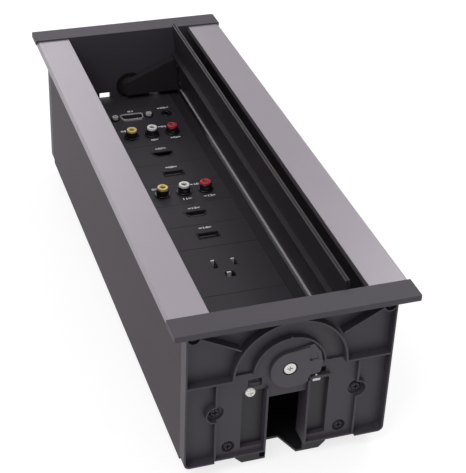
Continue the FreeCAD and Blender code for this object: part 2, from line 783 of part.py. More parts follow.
tube = profile(video_outline("0"), "XY_Plane", VIDEO_BACK, VIDEO_TOP, "video_tube")
flange = block("video_x - video_flange_length / 2", "video_x + video_flange_length / 2",
               "%s - video_flange_width / 2" % VIDEO_Y, "%s + video_flange_width / 2" % VIDEO_Y,
               VIDEO_BACK, SHELF)
hollow = profile(video_outline("-video_shell_wall"), "XY_Plane", VIDEO_BACK, VIDEO_TOP, "video_hollow")
node(cut(join([tube, flange]), join([hollow] + post_tools)), "video_shell")

VIDEO_FACE = "(%s - video_insert_step)" % VIDEO_TOP
core = profile(video_outline("-video_shell_wall"), "XY_Plane", VIDEO_BACK, VIDEO_FACE, "video_core")
rear = block("video_x - video_body_half", "video_x + video_body_half",
             "%s - video_body_half_width" % VIDEO_Y, "%s + video_body_half_width" % VIDEO_Y,
             "%s - video_body_drop" % VIDEO_BACK, VIDEO_BACK)
pin_holes = []
for row in (-1, 0, 1):
    for column in (-2, -1, 0, 1, 2):
        x = "video_x + (%d) * video_pin_pitch + (%d) * video_row_shift" % (column, row)
        y = "%s + (%d) * video_row_pitch" % (VIDEO_Y, row)
        pin_holes.append(rod_z(x, y, "%s - video_pin_depth" % VIDEO_FACE, VIDEO_FACE, "video_pin_hole"))
node(cut(join([core, rear]), group(pin_holes)), "video_insert")

collar = rod_z("jack_x", VIDEO_Y, PANEL, "%s + jack_rise" % PANEL, "jack_radius")
barrel = rod_z("jack_x", VIDEO_Y, "%s - jack_drop" % SHELF, PANEL, "jack_neck")
jack_bore = rod_z("jack_x", VIDEO_Y, "%s - jack_drop + jack_rise" % SHELF,
                  "%s + jack_rise" % PANEL, "jack_bore")
node(cut(join([collar, barrel]), jack_bore), "audio_jack")

# Phono modules
CAP_TOP = "(%s + phono_rise)" % PANEL
CAP_LOW = "(%s - phono_cap_height)" % CAP_TOP
BASE_TOP = "(%s + phono_base_rise)" % PANEL
bases, barrels, contacts = [], [], []
caps = {-1: [], 0: [], 1: []}
for index, label in ((2, "far_phono_plate"), (5, "near_phono_plate")):
    y = middle(index, "phono_offset")
    holes = []
    for column in (-1, 0, 1):
        x = "phono_centre_x + (%d) * phono_pitch" % column
        holes.append(rod_z(x, y, SHELF, PANEL, "phono_neck + socket_fit"))
        bottom = "%s - phono_neck_drop" % SHELF
        washer = rod_z(x, y, PANEL, BASE_TOP, "phono_base_radius")
        neck = rod_z(x, y, bottom, PANEL, "phono_neck")
        well = rod_z(x, y, "%s - phono_contact_length" % CAP_LOW, BASE_TOP, "phono_cap_bore")
        bases.append(cut(join([washer, neck]), well))
        sleeve = rod_z(x, y, BASE_TOP, CAP_LOW, "phono_radius")
        barrels.append(cut(sleeve, rod_z(x, y, BASE_TOP, CAP_LOW, "phono_radius - phono_wall")))
        ring = rod_z(x, y, BASE_TOP, CAP_TOP, "phono_radius - phono_wall")
        through = rod_z(x, y, BASE_TOP, CAP_TOP, "phono_cap_bore")
        caps[column].append(cut(ring, through))
        pin_low = "%s - phono_contact_length" % CAP_LOW
        pin_high = "%s - phono_contact_step" % CAP_TOP
        pin = rod_z(x, y, pin_low, pin_high, "phono_contact_radius")
        contacts.append(cut(pin, rod_z(x, y, "%s + phono_contact_wall" % pin_low, pin_high,
                                       "phono_contact_radius - phono_contact_wall")))
    node(cut(blank(index), join(holes)), label)
node(group(bases), "phono_bases")
node(group(barrels), "phono_barrels")
node(group(contacts), "phono_contacts")
for column, colour in ((-1, "yellow"), (0, "white"), (1, "red")):
    node(group(caps[column]), "phono_%s_caps" % colour)


def ports(kind, indices, outline, tongue_y):
    """The plates, metal shells and tongues of one kind of flat socket."""
    shells, tongues = [], []
    top = "(%s + %s_rise)" % (PANEL, kind)
    bottom = "(%s - %s_drop)" % (SHELF, kind)
    for index, label in indices:
        y = middle(index, kind + "_offset")
        hole = profile(outline(y, "socket_fit"), "XY_Plane", SHELF, PANEL, kind + "_hole")
        groove = profile(outline(y, "socket_groove"), "XY_Plane", "%s - socket_groove_depth" % PANEL,
                         PANEL, kind + "_groove")
        node(cut(blank(index), join([hole, groove])), label)
        outside = profile(outline(y, "0"), "XY_Plane", bottom, top, kind + "_outside")
        hollow = profile(outline(y, "-%s_wall" % kind), "XY_Plane", bottom, top, kind + "_hollow")
        shells.append(cut(outside, hollow))
        floor = profile(outline(y, "-%s_wall" % kind), "XY_Plane", bottom,
                        "%s + %s_tongue_base" % (bottom, kind), kind + "_floor")
        at = "%s + %s" % (y, tongue_y)
        tongue = block("%s_x - %s_tongue_half" % (kind, kind), "%s_x + %s_tongue_half" % (kind, kind),
                       "%s - %s_tongue_thick / 2" % (at, kind), "%s + %s_tongue_thick / 2" % (at, kind),
                       bottom, "%s - %s_tongue_step" % (PANEL, kind))
        tongues.append(join([floor, tongue]))
    node(group(shells), kind + "_shells")
    node(group(tongues), kind + "_tongues")


def display_outline(y, grow):
    return slanted("display_x", y, "display_half", "display_half - display_slant",
                   "display_half_height", "display_corner", grow)


def data_outline(y, grow):
    half_x = "(data_half + %s)" % grow
    half_y = "(data_half_height + %s)" % grow
    corners = (("-", "-"), ("", "-"), ("", ""), ("-", ""))
    return section([(a + half_x, b + half_y) for a, b in corners], ("data_x", y))


ports("display", ((3, "far_display_plate"), (6, "near_display_plate")), display_outline, "0")
ports("data", ((4, "far_data_plate"), (7, "near_data_plate")), data_outline, "data_tongue_shift")

# Power module
POWER_Y = middle(8, "power_offset")
slots = []
strips = []
hole_floor = "(%s - power_hole_depth)" % SHELF
strip_top = "(%s - contact_step)" % PANEL
strip_low = "(%s - contact_length)" % strip_top
for side, length in (("-1", "neutral_length"), ("1", "line_length")):
    x = "power_x + %s * blade_half_spacing" % side
    far_y = "(%s + blade_y + %s / 2)" % (POWER_Y, length)
    slots.append(block("%s - blade_width / 2" % x, "%s + blade_width / 2" % x,
                       "%s - %s" % (far_y, length), far_y, hole_floor, PANEL))
    strips.append(block("%s - blade_width / 2 + contact_side_gap" % x,
                        "%s + blade_width / 2 - contact_side_gap" % x,
                        "%s - contact_thick" % far_y, far_y, strip_low, strip_top))
EARTH_Y = "(%s + earth_y)" % POWER_Y
slots.append(join([rod_z("power_x", EARTH_Y, hole_floor, PANEL, "earth_radius"),
                   block("power_x - earth_radius", "power_x + earth_radius",
                         "%s - earth_radius" % EARTH_Y, EARTH_Y, hole_floor, PANEL)]))
strips.append(block("power_x - earth_contact_half", "power_x + earth_contact_half",
                    "%s + earth_contact_y" % EARTH_Y, "%s + earth_contact_y + contact_thick" % EARTH_Y,
                    strip_low, strip_top))
slots = group(slots)
node(cut(blank(8), slots), "power_plate")
housing = block("power_x - power_half_x", "power_x + power_half_x",
                "%s - power_half_y" % POWER_Y, "%s + power_half_y" % POWER_Y,
                "%s - power_drop" % SHELF, SHELF)
node(cut(housing, slots), "power_housing")
node(group(strips), "power_contacts")

# Screws of the end plates
for label, name, length, seat in (("rail_screws", "rail_screw", "rail_screw_length", BOSS_SEAT),
                                  ("wall_screws", "wall_screw", "tray_screw_length", WEB),
                                  ("tray_screws", "tray_screw", "tray_screw_length", WEB)):
    end_pair(group([turned(screw(length), FACING_OUT, "%s * %s_x" % (side, name), seat,
                           down(name + "_drop")) for side in ("-1", "1")]), label)
clamp_screw = turned(screw("clamp_screw_length"), FACING_OUT, "-clamp_screw_x", PLATFORM, CLAMP_Z)
end_pair(clamp_screw, "clamp_screws")

# Bushes, spring and stop buffers at the pivots
bush = join([rod_y(0, PIVOT, CAP_IN, PLATFORM, "bush_radius"),
             rod_y(0, PIVOT, "%s - bush_flange_thick" % CAP_IN, CAP_IN, "bush_flange_radius")])
flat = block("-bush_flange_radius", "bush_flange_radius", "%s - bush_flange_thick" % CAP_IN, CAP_IN,
             "%s - bush_flange_radius" % PIVOT, "%s + plate_side_gap" % PANEL)
bore = rod_y(0, PIVOT, "%s - bush_flange_thick" % CAP_IN, PLATFORM, "hub_radius + hub_clearance")
bush = cut(bush, join([flat, bore]))
both_ends(bush, "pivot_bush")

SPRING_Z = "(%s - window_height / 2)" % WINDOW_TOP
wave = (0, -1, 0, 1, 0)
steps = len(wave) - 1
spring_line = [("-left_window_far + (left_window_far - window_near) * %d / %d" % (i, steps),
                "%s + (%d) * spring_wave" % (SPRING_Z, k)) for i, k in enumerate(wave)]
spring = spring_line + [(x, z + " - spring_thick") for x, z in reversed(spring_line)]
leaf = profile(spring, "XZ_Plane", CAP_IN, WEB, "spring_leaf")
node(mirrored(leaf, V(0, 1, 0)), "detent_spring")

head = block("buffer_x", "buffer_x + buffer_length", PLATFORM, RIB,
             "%s - buffer_head" % LEDGE_LOW, LEDGE_LOW)
end_pair(join([head, stem]), "stop_buffers")


def swung(item):
    """Turns a piece drawn closed about the pivots into the open pose."""
    item.Placement = FreeCAD.Placement(V(0, 0, 0), FreeCAD.Rotation(V(0, 1, 0), 1))
    item.setExpression("Placement.Rotation.Angle", "sizes.open_angle")
    return place(item, 0, 0, PIVOT)


# Lid, drawn closed with the pivots' axis at the origin
LID_IN = "(lid_reach - lid_thick)"
GROOVE_LOW = "(lid_reach - lid_thick / 2 - seal_width / 2)"
GROOVE_HIGH = "(lid_reach - lid_thick / 2 + seal_width / 2)"
lid_points = [("-lid_half", "lid_reach"),
              ("-lid_half", GROOVE_HIGH), ("seal_depth - lid_half", GROOVE_HIGH),
              ("seal_depth - lid_half", GROOVE_LOW), ("-lid_half", GROOVE_LOW),
              ("-lid_half", LID_IN),
              ("-ledge_offset - ledge_thick", LID_IN),
              ("-ledge_offset - ledge_thick", LID_IN + " - ledge_depth"),
              ("-ledge_offset", LID_IN + " - ledge_depth"),
              ("-ledge_offset", LID_IN),
              ("lid_half", LID_IN), ("lid_half", "lid_reach")]
lid = profile(lid_points, "XZ_Plane", "-" + LID_END, LID_END, "lid_section")

foot_holes = []
FOOT_Y = "(%s - foot_width / 2)" % ARM_IN
for x in ("-foot_screw_far", "foot_screw_near"):
    foot_holes.append(rod_z(x, FOOT_Y, LID_IN, LID_IN + " + foot_screw_bite",
                            "shank_radius + thread_clearance"))
foot_holes = group(foot_holes)
node(swung(cut(lid, group([foot_holes, mirrored(foot_holes, V(0, 1, 0))]))), "lid_panel")

seal = profile([("-lid_half", GROOVE_LOW), ("seal_depth - lid_half", GROOVE_LOW),
                ("seal_depth - lid_half", GROOVE_HIGH), ("-lid_half", GROOVE_HIGH)],
               "XZ_Plane", "-" + LID_END, LID_END, "seal_section")
node(swung(seal), "lid_edge_seal")

trim = profile([("trim_offset", LID_IN + " - trim_depth"),
                ("trim_offset + trim_width", LID_IN + " - trim_depth"),
                ("trim_offset + trim_width", LID_IN), ("trim_offset", LID_IN)],
               "XZ_Plane", "-" + LID_END, LID_END, "trim_section")
node(swung(trim), "lid_trim")

# Lid arms with their hubs
arm_web = profile([("-arm_root_out", "-arm_root_out_drop"), ("arm_root_in", "-arm_root_in_drop"),
                   ("arm_top_in", LID_IN), ("-arm_top_out", LID_IN)],
                  "XZ_Plane", ARM_IN, ARM_OUT, "arm_web")
CAM_IN = "(%s + cam_gap)" % PLATFORM
hub = join([rod_y(0, 0, "%s + hub_neck_step" % ARM_IN, CAM_IN, "hub_neck_radius"),
            rod_y(0, 0, CAP_IN, CAM_IN, "hub_radius")])
foot = block("-foot_far", "foot_near", "%s - foot_width" % ARM_IN, ARM_IN,
             LID_IN + " - foot_thick", LID_IN)
arm_cuts = [rod_z(x, FOOT_Y, LID_IN + " - foot_thick", LID_IN, "shank_radius + hole_clearance")
            for x in ("-foot_screw_far", "foot_screw_near")]
arm_cuts.append(rod_y(0, 0, "%s - pivot_screw_length" % RIB, CAM_IN,
                      "pivot_screw_shank + thread_clearance"))
arm = swung(cut(join([arm_web, hub, foot]), join(arm_cuts)))
both_ends(arm, "lid_arm")


# Cam plates on the hubs' outer ends, drawn in the open pose
def polar(radius, angle):
    """A point of an outline at a radius and an angle."""
    return ("%s * cos(%s)" % (radius, angle), "%s * sin(%s)" % (radius, angle))


lobe = [("0", "cam_radius"), ("lobe_shoulder_x", "lobe_shoulder_z"),
        polar("lobe_radius", "lobe_high_angle"), polar("lobe_radius", "lobe_high_angle / 2"),
        polar("lobe_radius", "0"), polar("lobe_radius", "-lobe_low_angle"),
        ("lobe_heel_x", "-lobe_heel_z"), ("0", "0")]
raised = [("0", "0"), ("round_x", "-(round_drop + round_radius)"), ("round_flat_x", "-round_flat_z"),
          ("fold_x", "-fold_z"), ("fold_x", "lobe_shoulder_z"), ("0", "cam_radius")]
pocket = [("fold_x", "lobe_pocket_low"), polar("lobe_pocket_radius", "10"),
          polar("lobe_pocket_radius", "22"), polar("lobe_pocket_radius", "34"),
          ("fold_x", "lobe_pocket_high")]
FOLD_TOP = "(%s - lobe_step)" % RIB
cam = join([profile(section(lobe, (0, PIVOT)), "XZ_Plane", CAM_IN, FOLD_TOP, "cam_lobe"),
            profile(section(raised, (0, PIVOT)), "XZ_Plane", CAM_IN, RIB, "cam_raised"),
            rod_y("round_x", "%s - round_drop" % PIVOT, CAM_IN, RIB, "round_radius"),
            rod_y(0, PIVOT, CAM_IN, RIB, "cam_radius")])
BRIM_TOP = "(%s - pivot_screw_sink)" % RIB
BRIM_LOW = "(%s - pivot_screw_brim)" % BRIM_TOP
sink = join([rod_y(0, PIVOT, BRIM_LOW, RIB, "pivot_screw_radius + pivot_screw_ring"),
             dome_y(0, PIVOT, "%s - pivot_screw_head" % BRIM_LOW, BRIM_LOW,
                    "pivot_screw_shank + hole_clearance", "pivot_screw_radius + hole_clearance"),
             rod_y(0, PIVOT, CAM_IN, BRIM_LOW, "pivot_screw_shank + hole_clearance")])
pocket = profile(section(pocket, (0, PIVOT)), "XZ_Plane", "%s - lobe_pocket_depth" % FOLD_TOP,
                 RIB, "cam_pocket")
both_ends(cut(cam, join([sink, pocket])), "cam_plate")

ring = rod_y(0, PIVOT, BRIM_LOW, "%s + pivot_washer_thick" % BRIM_LOW,
             "pivot_screw_radius + pivot_screw_ring - pivot_washer_gap")
ring_hole = rod_y(0, PIVOT, BRIM_LOW, RIB, "pivot_screw_radius + pivot_washer_gap")
end_pair(cut(ring, ring_hole), "pivot_washers")

pivot_head = rod_y(0, PIVOT, BRIM_LOW, BRIM_TOP, "pivot_screw_radius")
pivot_cone = dome_y(0, PIVOT, "%s - pivot_screw_head" % BRIM_LOW, BRIM_LOW,
                    "pivot_screw_shank", "pivot_screw_radius")
pivot_shank = rod_y(0, PIVOT, "%s - pivot_screw_length" % RIB, BRIM_LOW, "pivot_screw_shank")
pivot_cross = turned(cross(), FACING_OUT, 0, BRIM_TOP, PIVOT)
end_pair(cut(join([pivot_head, pivot_cone, pivot_shank]), pivot_cross), "pivot_screws")

foot_screws = group([turned(screw("foot_screw_length"), FACING_DOWN, x, FOOT_Y,
                            LID_IN + " - foot_thick")
                     for x in ("-foot_screw_far", "foot_screw_near")])
end_pair(swung(foot_screws), "arm_screws")

doc.recompute()
for item in doc.Objects:
    if "Invalid" in item.State or "Error" in item.State:
        raise SystemExit("%s: %s" % (item.Name, item.State))
os.makedirs("parts", exist_ok=True)
labels = [item.Label for item in nodes]
if len(set(labels)) != len(labels):
    raise SystemExit("two sub-parts share a name")
for item in nodes:
    if item.Shape.isNull() or not item.Shape.isValid() or not item.Shape.Solids:
        raise SystemExit("%s has no valid solid" % item.Label)
for item in nodes:
    item.Shape.exportStep("parts/%s.step" % item.Label)
print("%d sub-parts written" % len(nodes))
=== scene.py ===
# %% [markdown]
# # A table connection box, dressed for its portrait
#
# The real object drops into a cut-out of a table top: two satin rails and two moulded cap bars make
# its rim, a lid swings up out of the way, and a row of sockets lies sunken between them.
# The construction model is already exact, so this lesson only gives each piece its finish, softens
# the edges that catch the light, and adds what a construction model leaves out, the printed
# numbers. Everything is in metres, in the construction model's own frame. Small sizes are written
# in millimetres, as a maker would say them, and multiplied by MM.

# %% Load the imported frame
import json
import math

import bmesh
import bpy
from mathutils import Matrix, Vector


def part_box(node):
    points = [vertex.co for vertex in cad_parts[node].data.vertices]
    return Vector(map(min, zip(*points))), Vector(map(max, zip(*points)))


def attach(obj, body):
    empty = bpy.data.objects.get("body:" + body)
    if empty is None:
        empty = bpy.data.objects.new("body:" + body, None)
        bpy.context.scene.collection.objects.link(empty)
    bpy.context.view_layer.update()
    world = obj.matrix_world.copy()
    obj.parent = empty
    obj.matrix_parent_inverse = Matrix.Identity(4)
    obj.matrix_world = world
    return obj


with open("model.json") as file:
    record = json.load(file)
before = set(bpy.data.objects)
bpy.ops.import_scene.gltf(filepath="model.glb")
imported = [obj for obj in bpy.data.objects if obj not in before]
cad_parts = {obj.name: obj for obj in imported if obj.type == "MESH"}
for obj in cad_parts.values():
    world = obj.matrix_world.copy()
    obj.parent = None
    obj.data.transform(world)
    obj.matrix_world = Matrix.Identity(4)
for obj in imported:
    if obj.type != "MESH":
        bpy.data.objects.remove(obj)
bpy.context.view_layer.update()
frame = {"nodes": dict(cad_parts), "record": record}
nodes = frame["nodes"]
slot_of = {row["node"]: row["material_slot"] for row in frame["record"]["subparts"]}
MM = 0.001
print("pieces in the frame:", len(nodes))

# %% [markdown]
# ## The camera
#
# A photograph of a box tells where its camera stood: the straight edges meet at vanishing points,
# and those give the angles and the focal length. The angles are kept as a turn about the vertical,
# a tilt down and a small roll, which is how a photographer would describe them. The focal length
# was found in pixels, and a lens is named in millimetres of its sensor, so one is turned into the
# other along the picture's longer side.

# %% Stand the camera where the photographer stood
IMAGE_WIDTH = 466
IMAGE_HEIGHT = 473
FOCAL_PIXELS = 1324.2
SENSOR_WIDTH = 36.0
NEAREST_SEEN = 0.05
CAMERA_PLACE = Vector((-217.66, -688.72, 518.90)) * MM
AZIMUTH = math.radians(-19.50)
ELEVATION = math.radians(33.475)
ROLL = math.radians(2.394)


def camera_turn(azimuth, elevation, roll):
    """The camera's rotation, from how far round, how far up and how far tilted it stands."""
    back = Vector((math.sin(azimuth) * math.cos(elevation),
                   -math.cos(azimuth) * math.cos(elevation), math.sin(elevation)))
    level = (-back).to_track_quat("-Z", "Y").to_matrix()
    return (level @ Matrix.Rotation(roll, 3, "Z")).to_4x4()


camera_data = bpy.data.cameras.new("photo_camera")
camera_data.sensor_width = SENSOR_WIDTH
camera_data.lens = FOCAL_PIXELS * SENSOR_WIDTH / max(IMAGE_WIDTH, IMAGE_HEIGHT)
camera_data.clip_start = NEAREST_SEEN
camera = bpy.data.objects.new("photo_camera", camera_data)
camera.matrix_world = Matrix.Translation(CAMERA_PLACE) @ camera_turn(AZIMUTH, ELEVATION, ROLL)
bpy.context.scene.collection.objects.link(camera)
bpy.context.scene.camera = camera
bpy.context.scene.view_settings.view_transform = "Standard"
print("lens", round(camera_data.lens, 2), "mm")

# %% [markdown]
# ## Small tools for node trees
#
# A material is a graph of nodes. Two helpers keep the cells short: one adds a node with its values,
# the other joins two sockets. A third turns the colours that a screen shows into the shader's own,
# by the curve that screens use.

# %% Helpers for node trees


def colour(red, green, blue):
    """A colour as the screen shows it, 0 to 255, as the shader wants it."""
    def channel(value):
        value = value / 255
        return value / 12.92 if value <= 0.04045 else ((value + 0.055) / 1.055) ** 2.4
    return (channel(red), channel(green), channel(blue), 1.0)


def add(tree, kind, **values):
    """A new node. Names with a leading underscore set the node itself, others its inputs."""
    node = tree.nodes.new(kind)
    for name, value in values.items():
        if name.startswith("_"):
            setattr(node, name[1:], value)
        else:
            node.inputs[name.replace("_", " ")].default_value = value
    return node


def link(tree, out_node, out_name, in_node, in_name):
    """Joins an output to an input, each given by its name or its number."""
    tree.links.new(out_node.outputs[out_name], in_node.inputs[in_name])


print("mid grey for the shader:", round(colour(128, 128, 128)[0], 3))

# %% [markdown]
# ## Grain, shared by every finish
#
# Moulded plastic, powder coat and anodised metal all have a fine grain and a slow drift of tone.
# Both are the same kind of effect, so they live in one node group: each material sets its own
# colours, grain size and depth. The group gives out a colour, a roughness and a height only, and
# the shader itself stays in the material. An image could do the same, but noise needs no file, has
# no seam, and follows the piece from every side.

# %% Build the grain group
DRIFT_DETAIL = 2.0
GRAIN_DETAIL = 3.0
GRAIN_CONTRAST = 0.6
NOISE_MIDDLE = 0.5
# The Mix node has sockets for every kind of value, and these are the numbers of its colour ones
MIX_FIRST = 6
MIX_SECOND = 7
MIX_RESULT = 2


def build_grain_group():
    """Colour that drifts slowly, roughness and height that vary finely."""
    group = bpy.data.node_groups.new("surface_grain", "ShaderNodeTree")
    for name, kind in (("Colour", "NodeSocketColor"), ("Drift colour", "NodeSocketColor"),
                       ("Drift size", "NodeSocketFloat"), ("Grain size", "NodeSocketFloat"),
                       ("Stretch", "NodeSocketVector"), ("Roughness", "NodeSocketFloat"),
                       ("Roughness spread", "NodeSocketFloat")):
        group.interface.new_socket(name, in_out="INPUT", socket_type=kind)
    for name, kind in (("Colour", "NodeSocketColor"), ("Roughness", "NodeSocketFloat"),
                       ("Height", "NodeSocketFloat")):
        group.interface.new_socket(name, in_out="OUTPUT", socket_type=kind)
    start = add(group, "NodeGroupInput")
    end = add(group, "NodeGroupOutput")
    place = add(group, "ShaderNodeTexCoord")
    stretched = add(group, "ShaderNodeVectorMath", _operation="MULTIPLY")
    link(group, place, "Object", stretched, 0)
    link(group, start, "Stretch", stretched, 1)
    slow = add(group, "ShaderNodeTexNoise", Detail=DRIFT_DETAIL)
    link(group, place, "Object", slow, "Vector")
    link(group, start, "Drift size", slow, "Scale")
    fine = add(group, "ShaderNodeTexNoise", Detail=GRAIN_DETAIL, Roughness=GRAIN_CONTRAST)
    link(group, stretched, "Vector", fine, "Vector")
    link(group, start, "Grain size", fine, "Scale")
    mixed = add(group, "ShaderNodeMix", _data_type="RGBA")
    link(group, slow, "Fac", mixed, "Factor")
    link(group, start, "Colour", mixed, MIX_FIRST)
    link(group, start, "Drift colour", mixed, MIX_SECOND)
    link(group, mixed, MIX_RESULT, end, "Colour")
    centred = add(group, "ShaderNodeMath", _operation="SUBTRACT")
    centred.inputs[1].default_value = NOISE_MIDDLE
    link(group, fine, "Fac", centred, 0)
    spread = add(group, "ShaderNodeMath", _operation="MULTIPLY_ADD")
    link(group, centred, "Value", spread, 0)
    link(group, start, "Roughness spread", spread, 1)
    link(group, start, "Roughness", spread, 2)
    link(group, spread, "Value", end, "Roughness")
    link(group, fine, "Fac", end, "Height")
    return group


GRAIN = build_grain_group()
print("grain group sockets:", len(GRAIN.interface.items_tree))

# %% [markdown]
# ## The finishes
#
# Each finish is named for the piece that it is on. The end plates are moulded in charcoal plastic,
# the rails are satin anodised aluminium, the sheet walls are powder coated, the modules are fine
# grained black plastic, and the lid is a black powder-coated panel. The caps of the phono sockets
# and the white buffers are glossy mouldings, so a thin clear coat lies over their colour. The rails
# were pressed through a die, which leaves fine lines along them: their grain is stretched that way.
#
# A noise that is spread over metres needs a large number to be fine: 1500 gives a grain of two
# thirds of a millimetre, and 20 a drift over five centimetres.

# %% Mix the finishes
GRAIN_SIZE = 1500.0
DRIFT_SIZE = 20.0
ROUGHNESS_SPREAD = 0.08
BUMP_STRENGTH = 0.6
# Two screen colours that the finish drifts between, its roughness, its grain's depth in
# millimetres, and whatever else sets it apart
FINISH_ROWS = {
    "end_plastic": ((66, 61, 70), (72, 67, 75), 0.55, 0.05, {}),
    "satin_rail": ((172, 165, 173), (167, 160, 168), 0.4, 0.02,
                   {"grain_size": 900.0, "stretch": (1, 0.03, 1), "Metallic": 0.7}),
    "wall_paint": ((68, 59, 67), (74, 65, 73), 0.62, 0.06, {"Specular_IOR_Level": 0.25}),
    "tray_paint": ((36, 34, 38), (42, 39, 43), 0.5, 0.05, {}),
    "module_plastic": ((44, 41, 48), (50, 47, 53), 0.62, 0.04, {}),
    "black_screw": ((40, 40, 44), (52, 51, 54), 0.38, 0.02, {"Metallic": 0.6}),
    "plated_steel": ((250, 249, 246), (240, 238, 234), 0.24, 0.01, {"Metallic": 0.45}),
    "dark_shell": ((54, 52, 57), (60, 58, 63), 0.35, 0.01, {"Metallic": 0.4}),
    # The pivot bushes are near black. That is partly their own dark plastic and partly painted
    # shade for the hub's shadow, which lies in the ring round each arm's hub.
    "bush_plastic": ((20, 19, 21), (25, 23, 26), 0.35, 0.02, {}),
    "spring_steel": ((44, 43, 47), (54, 52, 56), 0.35, 0.01, {"Metallic": 0.6}),
    "white_plastic": ((252, 252, 253), (247, 247, 250), 0.2, 0.01, {"Coat_Weight": 0.5}),
    "yellow_plastic": ((252, 224, 146), (246, 212, 126), 0.2, 0.01, {"Coat_Weight": 0.5}),
    "red_plastic": ((214, 60, 78), (200, 46, 64), 0.2, 0.01, {"Coat_Weight": 0.5}),
    "black_gloss": ((24, 22, 25), (30, 28, 31), 0.14, 0.01, {"Specular_IOR_Level": 0.8}),
    "contact_metal": ((186, 176, 150), (168, 158, 132), 0.3, 0.01, {"Metallic": 0.5}),
    "lid_paint": ((43, 37, 42), (48, 42, 46), 0.42, 0.05, {}),
    "cam_plastic": ((76, 73, 80), (82, 78, 85), 0.5, 0.03, {}),
    "seal_rubber": ((20, 18, 20), (25, 23, 25), 0.75, 0.05, {}),
    "trim_metal": ((196, 193, 196), (186, 183, 186), 0.35, 0.01, {"Metallic": 0.2}),
    "bright_screw": ((226, 223, 220), (214, 210, 206), 0.25, 0.01, {"Metallic": 0.8}),
    "printed_white": ((252, 252, 254), (247, 247, 250), 0.5, 0.005, {}),
}


def finish(name, base, drift, roughness, grain_depth, grain_size=GRAIN_SIZE, stretch=(1, 1, 1),
           **shader_values):
    """A material made of the shared grain and its own shader values."""
    material = bpy.data.materials.new(name)
    material.use_nodes = True
    tree = material.node_tree
    shader = tree.nodes["Principled BSDF"]
    for key, value in shader_values.items():
        shader.inputs[key.replace("_", " ")].default_value = value
    grain = add(tree, "ShaderNodeGroup", _node_tree=GRAIN)
    for key, value in (("Colour", colour(*base)), ("Drift colour", colour(*drift)),
                       ("Drift size", DRIFT_SIZE), ("Grain size", grain_size),
                       ("Stretch", stretch), ("Roughness", roughness),
                       ("Roughness spread", ROUGHNESS_SPREAD)):
        grain.inputs[key].default_value = value
    link(tree, grain, "Colour", shader, "Base Color")
    link(tree, grain, "Roughness", shader, "Roughness")
    bump = add(tree, "ShaderNodeBump", Distance=grain_depth * MM, Strength=BUMP_STRENGTH)
    link(tree, grain, "Height", bump, "Height")
    link(tree, bump, "Normal", shader, "Normal")
    return material


FINISHES = {}
for name, (base, drift, roughness, grain_depth, more) in FINISH_ROWS.items():
    FINISHES[name] = finish(name, base, drift, roughness, grain_depth, **more)
for name, piece in nodes.items():
    piece.data.materials.clear()
    piece.data.materials.append(FINISHES[slot_of[name]])
print("finishes:", len(FINISHES))

# %% [markdown]
# ## Soft edges
#
# No real edge is perfectly sharp: a moulding has a small radius, and folded sheet has a larger one.
# That radius is what draws the thin light line along an edge. A Bevel modifier makes it. The
# construction model comes as triangles, so its corners are welded and its flat faces made whole
# first, and the shading is set again afterwards: smooth over the bevels, with the flat faces kept
# flat by weighting each corner's direction by the size of its faces.

# %% Build the shading group
CREASE = math.radians(50)


def build_crease_shading():
    """Smooth shading everywhere but across edges that turn by more than the crease angle."""
    group = bpy.data.node_groups.new("crease_shading", "GeometryNodeTree")
    group.interface.new_socket("Mesh", in_out="INPUT", socket_type="NodeSocketGeometry")
    group.interface.new_socket("Mesh", in_out="OUTPUT", socket_type="NodeSocketGeometry")
    start = add(group, "NodeGroupInput")
    end = add(group, "NodeGroupOutput")
    angle = add(group, "GeometryNodeInputMeshEdgeAngle")
    sharp = add(group, "FunctionNodeCompare", _data_type="FLOAT", _operation="GREATER_THAN")
    sharp.inputs[1].default_value = CREASE
    shade = add(group, "GeometryNodeSetMeshNormal", _mode="SHARPNESS")
    shade.inputs["Remove Custom"].default_value = True
    link(group, angle, "Unsigned Angle", sharp, 0)
    link(group, start, "Mesh", shade, "Mesh")
    link(group, sharp, "Result", shade, "Edge Sharpness")
    link(group, shade, "Mesh", end, "Mesh")
    return group


CREASE_SHADING = build_crease_shading()
print("crease angle", round(math.degrees(CREASE)), "degrees")

# %% [markdown]
# ## How round each edge is
#
# The corner of a moulding is rounder than the edge of a sheet, and a contact is almost sharp. One
# radius for the whole object would swallow the smallest pieces, so each finish has its own, and the
# pieces of the sockets that are softer or finer than the rest of their finish are named beside it.
# The weld comes first, because a corner made of two points a hair apart holds its bevel back to
# almost nothing.

# %% Round every edge by its piece's own radius
SAME_POINT = 0.02
FLAT_ENOUGH = math.radians(0.3)
BEVEL_FROM = math.radians(32)
# The radius in millimetres and the number of segments, by finish or by piece
EDGE_ROUNDING = {
    "end_plastic": (0.3, 2), "satin_rail": (0.4, 2), "wall_paint": (0.2, 2), "tray_paint": (0.2, 2),
    "module_plastic": (0.2, 2), "black_screw": (0.15, 2), "plated_steel": (0.12, 2),
    "dark_shell": (0.1, 1), "bush_plastic": (0.2, 2), "spring_steel": (0.08, 1),
    "white_plastic": (0.2, 2), "black_gloss": (0.1, 1), "contact_metal": (0.08, 1),
    "lid_paint": (0.25, 2), "cam_plastic": (0.3, 2), "seal_rubber": (0.08, 1),
    "trim_metal": (0.15, 2), "bright_screw": (0.12, 2),
    "phono_yellow_caps": (0.45, 3), "phono_white_caps": (0.45, 3), "phono_red_caps": (0.45, 3),
    "phono_bases": (0.25, 2), "phono_barrels": (0.2, 2), "audio_jack": (0.25, 2),
    "display_tongues": (0.06, 1), "data_tongues": (0.06, 1),
}


